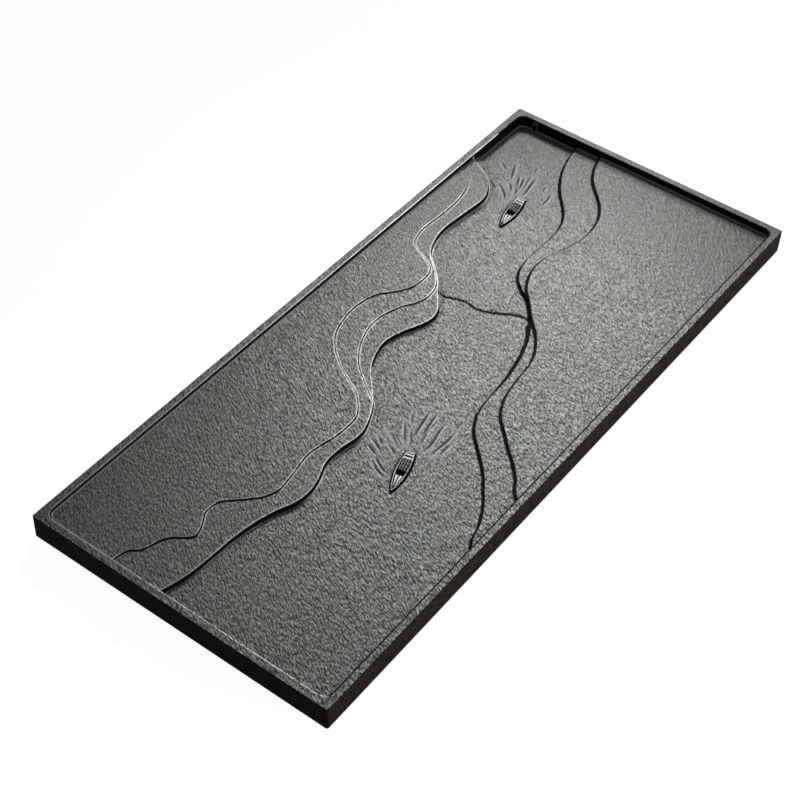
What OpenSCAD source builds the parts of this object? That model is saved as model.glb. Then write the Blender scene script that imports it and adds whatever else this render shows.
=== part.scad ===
// Stone gongfu tea tray: one slab of dark stone carved as a river between terraced
// banks, a steel drain sleeve in the far end wall, and eight soft feet stuck below.
// X runs along the river to its deep far end, Y across it, Z up.
// The origin is under the middle of the tray, on the plane that the feet stand on.

/* [Slab] */
// Length of the slab along the river
tray_len = 700; // [640:10:760]
// Width of the slab across the river
tray_wid = 306; // [290:2:330]
// Thickness of the slab
slab_t = 25; // [23:1:32]
// Width of the flat rim round the basin
rim_w = 7.5; // [6.5:0.5:11]
// Radius of the slab's upright corners
corner_r = 2; // [1:0.5:5]
// Radius of the basin's upright corners
basin_r = 9; // [6:0.5:14]
// Width of the eased edge round the underside
arris = 0.8; // [0.4:0.1:1.5]

/* [River] */
// Depth of the river bed below the rim at the near end
bed_near = 7.6; // [7:0.1:8.2]
// Depth of the river bed below the rim at the far end
bed_far = 12.3; // [11.5:0.1:13.5]
// Radius of the cove at the foot of the basin walls
cove_r = 2.4; // [1:0.1:3.5]
// Width of the cleft that crosses the river
cleft_w = 3.2; // [2:0.1:5]
// Depth of the cleft below the bed
cleft_d = 0.8; // [0.3:0.1:1.5]

/* [Left bank] */
// Height of the main bank above the bed at the near end
bank_near = 3; // [2.5:0.1:3.6]
// Height of the main bank above the bed at the far end
bank_far = 5.7; // [5:0.1:6.5]
// Height of the middle terrace above the main bank
mid_h = 0.8; // [0.4:0.1:1.1]
// Height of the upper terrace above the middle one
upper_h = 1; // [0.5:0.1:1.3]

/* [Right bank] */
// Height of the low ledge above the bed
ledge_h = 1.5; // [0.8:0.1:2]
// Height of the lower terrace above the bed
lower_h = 2.8; // [2.2:0.1:3.4]
// Height of the broad terrace above the bed
broad_h = 5; // [4.2:0.1:5.6]

/* [Boats] */
// Length of a boat from bow to stern
boat_len = 47; // [38:1:54]
// Beam of a boat
boat_beam = 12; // [9:0.5:14]
// Height of a boat's side above the bed
boat_h = 1.8; // [1.2:0.1:2.6]
// Depth of the open deck below the top of the side
deck_d = 0.8; // [0.3:0.1:1.1]
// Width of the side's top edge
gunwale_w = 1; // [0.6:0.1:1.6]
// Length of the arched cabin
cabin_len = 13; // [10:1:15]
// Height of the arched cabin above the side
cabin_h = 1.7; // [0.8:0.1:2]
// Thickness of the bow planks and of the stern seats
plank_t = 0.5; // [0.3:0.1:0.7]

/* [Drain] */
// Bore of the steel sleeve
sleeve_bore = 6.4; // [5:0.1:7]
// Wall of the steel sleeve
sleeve_wall = 0.8; // [0.5:0.1:1.2]
// Length of the steel sleeve, let in from the slab's end face
sleeve_len = 3.5; // [3:0.1:4.5]
// Height of the sleeve's bore above the bed at its lowest line
sleeve_lift = 0.2; // [0:0.1:1]
// Distance of the sleeve's axis from the slab's left side
drain_in_y = 25; // [22:1:40]

/* [Feet] */
// Diameter of a foot at the slab
foot_d = 22; // [16:1:30]
// Height of a foot without its tape
foot_h = 2.6; // [2:0.1:5]
// Slope of a foot's side, as the loss of radius down to the ground
foot_taper = 1.2; // [0.5:0.1:2.5]
// Radius of the edge under a foot
foot_edge_r = 0.6; // [0.3:0.1:1]
// Diameter of the tape disc under a foot
tape_d = 20; // [12:1:30]
// Thickness of the tape disc
tape_t = 0.4; // [0.2:0.1:1]
// Distance from the slab's ends to the outer feet's axes
foot_in_x = 42; // [30:1:80]
// Distance from the slab's sides to the feet's axes
foot_in_y = 32; // [22:1:60]
// Feet in one row
feet_per_row = 4; // [4]

/* [Hidden] */
$fn = 48;

slab_z = foot_h + tape_t;
rim_z = slab_z + slab_t;
basin_len = tray_len - 2 * rim_w;
basin_wid = tray_wid - 2 * rim_w;
cut = 1;
reach = 10;
curve_steps = 4;

// The bank lines are drawn by hand for a basin of this size and follow the basin's own size.
drawn_len = 685;
drawn_wid = 291;

// The main bank's edge, from the near wall to its end on the left wall.
main_edge = [[-354, 27], [-336, 21], [-314, 16], [-288, 14], [-264, 13], [-242, 10], [-222, 5],
             [-204, -2], [-188, -4], [-172, -1], [-152, 6], [-132, 6], [-112, 3], [-96, 6],
             [-75, 16], [-56, 31], [-40, 45], [-22, 53], [-4, 56], [14, 52], [31, 45], [46, 41],
             [59, 44], [74, 55], [96, 72], [117, 95], [135, 103], [155, 106], [185, 104],
             [212, 102], [230, 108], [243, 120], [250, 132], [256, 146], [258, 156]];
// Where the middle terrace leaves the main bank and comes back to it.
mid_from = 14;
mid_to = 25;
mid_edge = [[-70, 22], [-58, 39], [-44, 56], [-26, 69], [-6, 77], [12, 79], [26, 77], [42, 71],
            [54, 64], [66, 61], [80, 63], [92, 70], [104, 82]];
upper_edge = [[-354, 73], [-336, 72], [-326, 69], [-319, 62], [-311, 59], [-301, 56], [-294, 51],
              [-288, 43], [-282, 38], [-275, 39], [-267, 43], [-258, 48], [-250, 48], [-241, 46],
              [-231, 36], [-217, 23], [-203, 17], [-188, 18], [-170, 21], [-156, 23], [-141, 21],
              [-126, 18], [-112, 17], [-97, 18], [-85, 25], [-73, 37], [-65, 52], [-56, 67],
              [-45, 81], [-34, 91], [-22, 98], [-8, 102], [8, 104], [24, 103], [38, 99],
              [46, 93], [55, 86], [66, 80], [80, 78], [92, 79], [100, 84], [106, 95], [112, 107],
              [118, 115], [128, 119], [142, 121], [158, 120], [176, 119], [195, 120],
              [212, 123], [228, 129], [242, 140], [250, 156]];
lower_edge = [[354, 81], [340, 77], [324, 74], [306, 69], [289, 61], [273, 51], [258, 38],
              [244, 28], [229, 22], [211, 20], [190, 20], [170, 20], [153, 17], [140, 10],
              [131, 0], [124, -10], [113, -21], [101, -30], [90, -37], [78, -43], [61, -49],
              [44, -53], [25, -56], [0, -57], [-18, -59], [-33, -64], [-46, -72], [-60, -86],
              [-76, -102], [-92, -114], [-108, -125], [-126, -134], [-148, -141], [-166, -156]];
// Where the low ledge leaves the lower terrace and comes back to it.
ledge_from = 17;
ledge_to = 24;
ledge_edge = [[94, -32], [84, -39], [72, -44], [58, -48], [40, -52], [20, -55]];
broad_edge = [[354, 52], [340, 48], [325, 44], [309, 36], [297, 26], [286, 15], [275, 6],
              [262, -1], [247, -5], [230, -6], [210, -3], [192, 3], [175, 7], [157, 6],
              [143, 1], [132, -5], [121, -15], [110, -24], [99, -34], [89, -44], [78, -52],
              [65, -59], [50, -63], [30, -65], [10, -68], [-6, -73], [-19, -81], [-31, -93],
              [-43, -105], [-55, -118], [-68, -130], [-82, -139], [-98, -156]];
// The middle of the cleft across the river.
cleft_line = [[74, 62], [79, 56], [83, 46], [87, 32], [85, 20], [88, 10], [93, 0], [99, -10],
              [103, -20], [103, -36]];

// Each boat's middle, and the way its bow points.
boat_places = [[[-120, -48.5], 196], [[218, 72], 188.7]];

function fit_x(x) = x * basin_len / drawn_len;
function fit_y(y) = y * basin_wid / drawn_wid;
function spline(a, b, c, d, t) =
    0.5 * (2 * b + (c - a) * t + (2 * a - 5 * b + 4 * c - d) * t * t
           + (3 * b - a - 3 * c + d) * t * t * t);
function smooth_line(p) = let (last = len(p) - 1)
    [for (i = [0 : last - 1]) for (k = [0 : curve_steps - 1])
        spline(p[max(i - 1, 0)], p[i], p[i + 1], p[min(i + 2, last)], k / curve_steps), p[last]];
function on_basin(p) = [for (q = p) [fit_x(q[0]), fit_y(q[1])]];
function part_of(p, a, b) = [for (i = [a : b]) p[i]];
function drawn(p) = on_basin(smooth_line(p));

// The drawn line of a terrace that leaves another line for a stretch.
mid_line = concat(part_of(main_edge, 0, mid_from), mid_edge,
                  part_of(main_edge, mid_to, len(main_edge) - 1));
ledge_line = concat(part_of(lower_edge, 0, ledge_from), ledge_edge,
                    part_of(lower_edge, ledge_to, len(lower_edge) - 1));

// Height of the bed, and of a level that stands above it, at a place along X.
function bed_z(x) = rim_z - bed_near - (bed_far - bed_near) * (x + basin_len / 2) / basin_len;
function main_h(x) = bank_near + (bank_far - bank_near) * (x + basin_len / 2) / basin_len;

module rounded_plan(len_x, len_y, r) {
    square([len_x - 2 * r, len_y], center = true);
    square([len_x, len_y - 2 * r], center = true);
    for (sx = [-1, 1], sy = [-1, 1])
        translate([sx * (len_x / 2 - r), sy * (len_y / 2 - r)])
            circle(r);
}

// All that lies under a plane which rises h_near and h_far above the bed at the two ends.
module under_level(h_near, h_far, low) {
    end_x = basin_len / 2;
    grade_bed = (bed_z(end_x) - bed_z(-end_x)) / basin_len;
    grade = grade_bed + (h_far - h_near) / basin_len;
    far_x = end_x + reach;
    z_low = bed_z(-end_x) + h_near - grade * reach;
    z_high = bed_z(-end_x) + h_near + grade * (basin_len + reach);
    rotate([90, 0, 0])
        linear_extrude(tray_wid + 2 * reach, center = true)
            polygon([[-far_x, low], [far_x, low], [far_x, z_high], [-far_x, z_low]]);
}

// A bank fills one side of the basin up to a sloping top.
module bank(edge, side, h_near, h_far) {
    out_y = side * (basin_wid / 2 + rim_w / 2);
    first = edge[0];
    last = edge[len(edge) - 1];
    intersection() {
        translate([0, 0, slab_z + cut])
            linear_extrude(slab_t)
                intersection() {
                    polygon(concat(edge, [[last[0], out_y], [first[0], out_y]]));
                    square([basin_len + rim_w, basin_wid + rim_w], center = true);
                }
        under_level(h_near, h_far, slab_z);
    }
}

module basin() {
    difference() {
        translate([0, 0, slab_z + cut])
            linear_extrude(slab_t)
                rounded_plan(basin_len, basin_wid, basin_r);
        under_level(0, 0, slab_z);
    }
}

// The cove at the foot of the basin's walls, where the bed meets them.
module cove_profile() {
    sunk = 0.5;
    polygon(concat([[-sunk, -sunk], [-sunk, cove_r]],
                   [for (a = [180 : 15 : 270]) [cove_r + cove_r * cos(a), cove_r + cove_r * sin(a)]],
                   [[cove_r, -sunk]]));
}

module coves() {
    end_x = basin_len / 2;
    end_y = basin_wid / 2;
    fall = atan((bed_far - bed_near) / basin_len);
    for (side = [0, 1])
        mirror([0, side, 0])
            translate([-end_x, -end_y, bed_z(-end_x)])
                rotate([0, fall, 0])
                    rotate([90, 0, 90])
                        linear_extrude(basin_len)
                            cove_profile();
    for (end = [-1, 1]) {
        translate([end * end_x, 0, bed_z(end * end_x)])
            rotate([90, 0, 0])
                linear_extrude(basin_wid, center = true)
                    mirror([end > 0 ? 1 : 0, 0])
                        cove_profile();
        for (side = [-1, 1])
            translate([end * (end_x - basin_r), side * (end_y - basin_r), bed_z(end * end_x)])
                rotate([0, 0, end > 0 ? (side > 0 ? 0 : 270) : (side > 0 ? 90 : 180)])
                    rotate_extrude(angle = 90)
                        translate([basin_r, 0])
                            mirror([1, 0])
                                cove_profile();
    }
}

module cleft() {
    line = drawn(cleft_line);
    half = cleft_w / 2;
    near_side = [for (p = line) [p[0] - half, p[1]]];
    far_side = [for (i = [len(line) - 1 : -1 : 0]) [line[i][0] + half, line[i][1]]];
    difference() {
        translate([0, 0, slab_z + cut])
            linear_extrude(slab_t - cut - bed_near)
                polygon(concat(near_side, far_side));
        under_level(-cleft_d, -cleft_d, slab_z);
    }
}

// Half the beam at a share of the length, from the pointed bow to the square stern.
function boat_half(t, beam) = beam / 2 * pow(sin(min(t / 0.62, 1) * 90), 0.8)
                              * (1 - 0.35 * pow(max(t - 0.62, 0) / 0.38, 2));
module boat_plan(len_x, beam) {
    n = 14;
    right = [for (i = [0 : n]) [len_x / 2 - len_x * i / n, -boat_half(i / n, beam)]];
    left = [for (i = [n : -1 : 1]) [len_x / 2 - len_x * i / n, boat_half(i / n, beam)]];
    polygon(concat(right, left));
}

cabin_x = -0.16 * boat_len;

// Two planks that close in on the bow, and two seats across the stern.
module boat_fittings() {
    from_x = 0.09 * boat_len;
    to_x = 0.36 * boat_len;
    for (side = [0, 1])
        mirror([0, side])
            linear_extrude(plank_t)
                polygon([[from_x, 0.07 * boat_beam / 2], [to_x, 0.05 * boat_beam / 2],
                         [to_x, 0.18 * boat_beam / 2], [from_x, 0.58 * boat_beam / 2]]);
    for (seat = [[0.07, 0.055], [0.15, 0.03]])
        translate([cabin_x - cabin_len / 2 - seat[0] * boat_len, -0.36 * boat_beam])
            linear_extrude(plank_t)
                square([seat[1] * boat_len, 0.72 * boat_beam]);
}

// A covered river boat in low relief, seated in the sloping bed.
module boat() {
    sunk = 2;
    arch_r = (pow(boat_beam / 2, 2) + pow(cabin_h, 2)) / (2 * cabin_h);
    difference() {
        translate([0, 0, -sunk])
            linear_extrude(sunk + boat_h)
                boat_plan(boat_len, boat_beam);
        translate([0, 0, boat_h - deck_d])
            linear_extrude(boat_h)
                boat_plan(boat_len - 4 * gunwale_w, boat_beam - 2 * gunwale_w);
    }
    translate([0, 0, boat_h - deck_d])
        boat_fittings();
    intersection() {
        translate([0, 0, -sunk])
            linear_extrude(sunk + boat_h + cabin_h)
                boat_plan(boat_len, boat_beam);
        translate([cabin_x - cabin_len / 2, 0, boat_h + cabin_h - arch_r])
            rotate([0, 90, 0])
                cylinder(h = cabin_len, r = arch_r);
    }
}

module boats() {
    for (b = boat_places) {
        x = fit_x(b[0][0]);
        translate([x, fit_y(b[0][1]), bed_z(x)])
            rotate([0, 0, b[1]])
                boat();
    }
}

sleeve_r = sleeve_bore / 2 + sleeve_wall;
drain_y = tray_wid / 2 - drain_in_y;
drain_z = bed_z(basin_len / 2) + sleeve_lift + sleeve_bore / 2;
module along_drain(x, length, r) {
    translate([x, drain_y, drain_z])
        rotate([0, 90, 0])
            cylinder(h = length, r = r);
}

module slab_block() {
    translate([0, 0, slab_z + arris])
        linear_extrude(slab_t - arris)
            rounded_plan(tray_len, tray_wid, corner_r);
    translate([0, 0, slab_z])
        linear_extrude(arris)
            rounded_plan(tray_len - 2 * arris, tray_wid - 2 * arris, corner_r);
}

module tray_slab() color([0.16, 0.17, 0.17]) {
    difference() {
        union() {
            difference() {
                slab_block();
                basin();
            }
            coves();
            bank(drawn(main_edge), 1, bank_near, bank_far);
            bank(drawn(mid_line), 1, bank_near + mid_h, bank_far + mid_h);
            bank(drawn(upper_edge), 1, bank_near + mid_h + upper_h, bank_far + mid_h + upper_h);
            bank(drawn(ledge_line), -1, ledge_h, ledge_h);
            bank(drawn(lower_edge), -1, lower_h, lower_h);
            bank(drawn(broad_edge), -1, broad_h, broad_h);
            boats();
        }
        cleft();
        along_drain(basin_len / 2 - 2 * cove_r, rim_w + 2 * cove_r + cut, sleeve_bore / 2);
        along_drain(tray_len / 2 - sleeve_len, sleeve_len + cut, sleeve_r);
    }
}

// The sleeve stands against the shoulder of its stepped bore.
module drain_sleeve() color([0.75, 0.76, 0.78]) {
    from_x = tray_len / 2 - sleeve_len;
    difference() {
        along_drain(from_x, sleeve_len, sleeve_r);
        along_drain(from_x - cut, sleeve_len + 2 * cut, sleeve_bore / 2);
    }
}

foot_step = (tray_len - 2 * foot_in_x) / (feet_per_row - 1);
function foot_place(i) = let (row = floor((i - 1) / feet_per_row), k = (i - 1) % feet_per_row)
    [-tray_len / 2 + foot_in_x + k * foot_step, (row * 2 - 1) * (tray_wid / 2 - foot_in_y)];

module tape_discs() color([0.85, 0.85, 0.82]) {
    for (i = [1 : 2 * feet_per_row])
        translate(concat(foot_place(i), [foot_h]))
            cylinder(h = tape_t, d = tape_d);
}

module foot(i) color([0.1, 0.1, 0.1]) {
    low_r = foot_d / 2 - foot_taper;
    translate(concat(foot_place(i), [0]))
        rotate_extrude()
            polygon(concat([[0, 0]],
                           [for (a = [-90 : 15 : 0])
                               [low_r - foot_edge_r + foot_edge_r * cos(a),
                                foot_edge_r + foot_edge_r * sin(a)]],
                           [[foot_d / 2, foot_h], [0, foot_h]]));
}

tray_slab();
drain_sleeve();
tape_discs();
foot(1);  // foot_1
foot(2);  // foot_2
foot(3);  // foot_3
foot(4);  // foot_4
foot(5);  // foot_5
foot(6);  // foot_6
foot(7);  // foot_7
foot(8);  // foot_8
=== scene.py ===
import math

import bpy
import numpy as np
from mathutils import Matrix, Vector, geometry, noise


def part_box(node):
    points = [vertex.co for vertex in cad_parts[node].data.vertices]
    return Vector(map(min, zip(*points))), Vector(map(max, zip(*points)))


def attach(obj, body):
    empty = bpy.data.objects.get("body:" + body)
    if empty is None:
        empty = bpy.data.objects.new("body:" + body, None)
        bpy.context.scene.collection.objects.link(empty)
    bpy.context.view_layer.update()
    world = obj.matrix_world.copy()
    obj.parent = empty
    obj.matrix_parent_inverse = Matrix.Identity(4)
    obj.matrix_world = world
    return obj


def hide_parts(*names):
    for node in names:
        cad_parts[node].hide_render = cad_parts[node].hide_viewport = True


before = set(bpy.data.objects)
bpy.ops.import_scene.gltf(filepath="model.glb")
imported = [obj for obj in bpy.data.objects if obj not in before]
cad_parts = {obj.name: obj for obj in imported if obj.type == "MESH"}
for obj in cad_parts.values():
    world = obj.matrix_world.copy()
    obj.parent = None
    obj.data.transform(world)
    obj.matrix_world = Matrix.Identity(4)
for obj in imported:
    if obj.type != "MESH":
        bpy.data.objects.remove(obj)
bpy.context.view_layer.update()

MM = 0.001

# Sizes of the tray, in millimetres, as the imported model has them.
SLAB_LOW, SLAB_HIGH = [Vector(corner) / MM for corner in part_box("tray_slab")]
TRAY_LEN = SLAB_HIGH.x - SLAB_LOW.x
TRAY_WID = SLAB_HIGH.y - SLAB_LOW.y
RIM_Z = SLAB_HIGH.z
RIM_W = 7.5
BASIN_LEN = TRAY_LEN - 2 * RIM_W
BASIN_WID = TRAY_WID - 2 * RIM_W
CORNER_R, BASIN_R = 2.0, 9.0
BED_NEAR, BED_FAR = 7.6, 12.3
COVE_W, COVE_H = 2.4, 2.2
ARRIS, FOOT_ARRIS = 0.5, 0.8
SLEEVE_WALL, BORE_REACH = 0.8, 16.0

# The drain sleeve, in metres: its box, its axis and its outer radius.
SLEEVE_LOW, SLEEVE_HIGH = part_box("drain_sleeve")
BORE_Y = (SLEEVE_LOW.y + SLEEVE_HIGH.y) / 2
BORE_Z = (SLEEVE_LOW.z + SLEEVE_HIGH.z) / 2
SLEEVE_R = (SLEEVE_HIGH.z - SLEEVE_LOW.z) / 2

# The upright part of a step or wall and its eased top, seen in plan, and how far the pale
# edge, part wear and part painted highlight, reaches from the edge of a step and of the rim.
WALL, BROW = 0.32, 0.05
EDGE_PALE, RIM_PALE = 1.05, 1.0

# The carved lines, drawn in plan: the edges of the left bank's terraces from the near
# end, and of the right bank's from the far end. The middle terrace and the ledge are branches,
# which leave the line beside them and join it again at these places in its list.
MAIN_EDGE = [
    (-354, 27), (-336, 21), (-314, 16), (-288, 14), (-264, 13), (-242, 10), (-222, 5), (-204, -2),
    (-188, -4), (-172, -1), (-152, 6), (-132, 6), (-112, 3), (-96, 6), (-75, 16), (-56, 31), (-40, 45),
    (-22, 53), (-4, 56), (14, 52), (31, 45), (46, 41), (59, 44), (74, 55), (96, 72), (117, 95),
    (135, 103), (155, 106), (185, 104), (212, 102), (230, 108), (243, 120), (250, 132), (256, 146),
    (258, 156)]
MID_EDGE = [
    (-70, 22), (-58, 39), (-44, 56), (-26, 69), (-6, 77), (12, 79), (26, 77), (42, 71), (54, 64),
    (66, 61), (80, 63), (92, 70), (104, 82)]
MID_LEAVES, MID_JOINS = 14, 25
UPPER_EDGE = [
    (-354, 73), (-336, 72), (-326, 69), (-319, 62), (-311, 59), (-301, 56), (-294, 51), (-288, 43),
    (-282, 38), (-275, 39), (-267, 43), (-258, 48), (-250, 48), (-241, 46), (-231, 36), (-217, 23),
    (-203, 17), (-188, 18), (-170, 21), (-156, 23), (-141, 21), (-126, 18), (-112, 17), (-97, 18),
    (-85, 25), (-73, 37), (-65, 52), (-56, 67), (-45, 81), (-34, 91), (-22, 98), (-8, 102), (8, 104),
    (24, 103), (38, 99), (46, 93), (55, 86), (66, 80), (80, 78), (92, 79), (100, 84), (106, 95),
    (112, 107), (118, 115), (128, 119), (142, 121), (158, 120), (176, 119), (195, 120), (212, 123),
    (228, 129), (242, 140), (250, 156)]
LOWER_EDGE = [
    (354, 81), (340, 77), (324, 74), (306, 69), (289, 61), (273, 51), (258, 38), (244, 28), (229, 22),
    (211, 20), (190, 20), (170, 20), (153, 17), (140, 10), (131, 0), (124, -10), (113, -21), (101, -30),
    (90, -37), (78, -43), (61, -49), (44, -53), (25, -56), (0, -57), (-18, -59), (-33, -64), (-46, -72),
    (-60, -86), (-76, -102), (-92, -114), (-108, -125), (-126, -134), (-148, -141), (-166, -156)]
LEDGE_EDGE = [(94, -32), (84, -39), (72, -44), (58, -48), (40, -52), (20, -55)]
LEDGE_LEAVES, LEDGE_JOINS = 17, 24
BROAD_EDGE = [
    (354, 52), (340, 48), (325, 44), (309, 36), (297, 26), (286, 15), (275, 6), (262, -1), (247, -5),
    (230, -6), (210, -3), (192, 3), (175, 7), (157, 6), (143, 1), (132, -5), (121, -15), (110, -24),
    (99, -34), (89, -44), (78, -52), (65, -59), (50, -63), (30, -65), (10, -68), (-6, -73), (-19, -81),
    (-31, -93), (-43, -105), (-55, -118), (-68, -130), (-82, -139), (-98, -156)]
CLEFT_LINE = [
    (74, 62), (79, 56), (83, 46), (87, 32), (85, 20), (88, 10), (93, 0), (99, -10), (103, -20),
    (103, -36)]

# The brushed strokes of the wakes, drawn in plan: line, share of the full depth.
NEAR_WAKE = [
    ([(-79, -33), (-70, -30), (-60, -28), (-49, -26)], 0.5),
    ([(-74, -37.5), (-65, -35.5), (-57, -34), (-45, -32)], 0.45),
    ([(-84, -42), (-75, -40), (-64, -37.5), (-54, -38)], 0.35),
    ([(-91, -49), (-80, -49.5), (-72, -48.5), (-62, -46), (-50, -45)], 0.4),
    ([(-89, -57), (-78, -57), (-65, -58), (-53, -57)], 0.4),
    ([(-85, -63), (-75, -62), (-66, -63)], 0.3),
    ([(-91, -31), (-85, -26), (-78, -21), (-70, -15.5)], 0.35),
    ([(-93, -36), (-86, -33.5), (-80, -29), (-74, -25)], 0.3),
    ([(-69, -22), (-62, -17), (-56, -15)], 0.3),
    ([(-116.5, -18), (-114, -12.5), (-112, -8)], 0.5),
    ([(-110.5, -18.5), (-107, -12.5), (-103.5, -5)], 0.45),
    ([(-104, -17), (-101, -12), (-98, -7.5)], 0.35),
    ([(-128, -39), (-126, -33), (-123, -27), (-119, -21)], 0.5),
    ([(-133, -41), (-131.5, -35), (-129, -29), (-125, -23)], 0.45),
    ([(-106.5, -32), (-103.5, -27), (-101, -22)], 0.35),
    ([(-99, -31), (-95, -24), (-91, -18), (-88, -11)], 0.25)]
FAR_WAKE = [
    ([(232, 89), (238, 94), (243, 99.5), (248, 106.5)], 0.5),
    ([(245, 86), (250, 88.5), (254, 91)], 0.4),
    ([(246, 92), (251, 95.5), (256, 100)], 0.35),
    ([(256, 91), (264, 94.5), (271, 98)], 0.4),
    ([(247, 78), (255, 79), (266, 81), (278, 83)], 0.45),
    ([(261, 101.5), (272, 106), (284, 111.5)], 0.4),
    ([(265, 66.5), (273, 68)], 0.3),
    ([(247, 55), (258, 55.5), (268, 58)], 0.35),
    ([(253, 87), (262, 89), (273, 93)], 0.4),
    ([(256, 83.5), (268, 86.5), (280, 89)], 0.25),
    ([(285, 88.5), (293, 91.5)], 0.3),
    ([(271, 115), (275, 120), (278, 124)], 0.35),
    ([(238, 104), (241, 109), (243, 115)], 0.3)]

# Steps between the points in rows and loose grids, how clear of earlier points the grids stay,
# and where the rows lie: below and above an edge, across a stroke, and off the outlines of the
# basin and a boat.
LINE_STEP, STROKE_STEP, OUTLINE_STEP = 1.6, 1.3, 2.0
GRID_STEP, WAKE_STEP, ROW_STEP = 2.3, 0.9, 0.866
GRID_CLEAR, WAKE_CLEAR, WALL_CLEAR, WAKE_REACH = 1.1, 0.6, 0.4, 3.2
ROWS_LOW = (BROW, WALL, 0.75, 1.2, 1.6, 2.1, 2.9, 4.2)
ROWS_HIGH = (0.4, 0.9, 1.8)
STROKE_ROWS = (-1.7, -0.9, 0.0, 0.8, 1.6, 2.6)
WALL_ROWS = (-1.8, -0.9, -0.45, 0.0, BROW, WALL, 0.8, 1.4, 1.8, 2.2, 2.8, 3.6)
BOAT_ROWS = (-0.3, 0.35, 0.75, 1.3, 2.0)

# The search for the nearest edge: how far it looks in Y and in X for a terrace's, and round a
# drawn line, and the distance that points beyond are given.
EDGE_REACH, EDGE_WINDOW, LINE_REACH, FAR_OFF = 26, 16, 5, 99.0

# The carved marks: what still counts as on an edge, the height from which a step is drawn at
# full strength, the soft border of its dark face of cut black and painted shade, the depths of
# the arrises blackened as painted shadow, the cleft, the seam, and a stroke with the ridge beside it.
SLACK, FULL_STEP, FACE_BLUR = 0.02, 0.8, 0.7
STEP_ARRIS, RIM_ARRIS = 0.35, 0.4
CLEFT_W, CLEFT_D, SEAM_D = 1.2, 1.6, 0.5
STROKE_W, STROKE_DEPTH = 1.35, 1.6
RIDGE_AT, RIDGE_W, RIDGE_SHARE = 1.9, 0.8, 0.4

# The direction of the key light, how far along the tray it reaches the left rim and the foot
# of the left wall, and where the painted highlights on the left bank's edges grow fainter.
KEY_AZIMUTH = math.radians(26)
RIM_LIT_TO, FOOT_LIT_TO, HIGHLIGHT_FADES = 300, 236, (200, 225)

# The roughness of the tooling: height, size and seed of its lumps.
TOOLING = ((0.34, 4.2, 1.5), (0.16, 9.0, 8.5))

# The boats: name, place, heading. Their sizes have the bow towards +X. The planks of the fore
# deck narrow and close in at the bow. A thwart has a length and a distance behind the awning.
BOATS = (("boat_near", (-120, -48.5), 196), ("boat_far", (218, 72), 188.7))
BOAT_LEN, BOAT_BEAM, BOAT_H = 47.0, 12.0, 1.8
WIDEST, HALF_STEM, STATIONS = 0.62, 0.12, 28
BOW_RISE, STERN_RISE, BOAT_SUNK = 0.7, 0.35, 0.3
STRAKE_W, GUNWALE_W, DECK_D = 0.55, 0.75, 0.8
CABIN_LEN, CABIN_WID, CABIN_H = 13.0, BOAT_BEAM - 2.0, 1.7
CABIN_X = -0.16 * BOAT_LEN
ARCH_R = ((BOAT_BEAM / 2 - 0.9) ** 2 + CABIN_H ** 2) / (2 * CABIN_H)
AWNING_T, HOOP_W, MAT_SUNK = 0.5, 0.46, 0.4
PLANK, PLANK_X, PLANK_Y, PLANK_LIFT = (13.0, 2.3, 0.7), 10.7, 1.75, 0.25
PLANK_NARROWS, PLANK_CLOSES = 0.3, 1.05
THWARTS = ((2.1, 2.4), (1.9, 6.4))
THWART_WID, THWART_H, THWART_SUNK = 7.8, 1.0, 0.3
BAR_EDGE = 0.15
MOAT_W, MOAT_D = 1.0, 0.7

# Angles in degrees up to which neighbouring faces are shaded smooth.
STONE_SMOOTH, BOAT_SMOOTH = 42, 35


def rising(value, start, end):
    """A share that is 0 at the start, 1 at the end and even between them."""
    return np.clip((value - start) / (end - start), 0, 1)


def stripe(gap, width, reach=1.5):
    """A soft stripe: 1 within (reach - 1) widths of its middle line, 0 from reach widths on."""
    return np.clip(reach - np.abs(gap) / width, 0, 1)


def half_beam(t):
    """Half the beam at a share of the boat's length, from the pointed bow to the square stern."""
    fine = math.sin(min(t / WIDEST, 1) * math.pi / 2) ** 0.8
    return max(HALF_STEM, BOAT_BEAM / 2 * fine * (1 - 0.35 * (max(t - WIDEST, 0) / (1 - WIDEST)) ** 2))


def sheer(t):
    """How far the hull rises at a share of the boat's length, at the bow and the stern."""
    return BOW_RISE * max(0.0, 0.35 - t) ** 2 / 0.1225 + STERN_RISE * max(0.0, t - 0.8) / 0.2


def spline(points, step=LINE_STEP):
    """A smooth line through the drawn points, cut into even steps."""
    p = np.array(points, float)
    ends = np.vstack([p[:1], p, p[-1:]])
    fine = []
    for i in range(len(p) - 1):
        a, b, c, d = ends[i:i + 4]
        t = np.linspace(0, 1, 17)[:-1, None]
        fine.append(0.5 * (2 * b + (c - a) * t + (2 * a - 5 * b + 4 * c - d) * t * t
                           + (3 * b - a - 3 * c + d) * t ** 3))
    fine = np.vstack(fine + [p[-1:]])
    along = np.concatenate([[0], np.cumsum(np.hypot(*np.diff(fine, axis=0).T))])
    even = np.linspace(0, along[-1], int(along[-1] / step) + 2)
    return np.column_stack([np.interp(even, along, fine[:, k]) for k in (0, 1)])


def normals(line):
    """The unit normal to the left of each point of a line."""
    run = np.gradient(line, axis=0)
    run /= np.hypot(run[:, 0], run[:, 1])[:, None]
    return np.column_stack([-run[:, 1], run[:, 0]])


def far_share(x):
    return rising(x, -BASIN_LEN / 2, BASIN_LEN / 2)


def bed_depth(x):
    return -BED_NEAR - (BED_FAR - BED_NEAR) * (x + BASIN_LEN / 2) / BASIN_LEN


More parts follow.
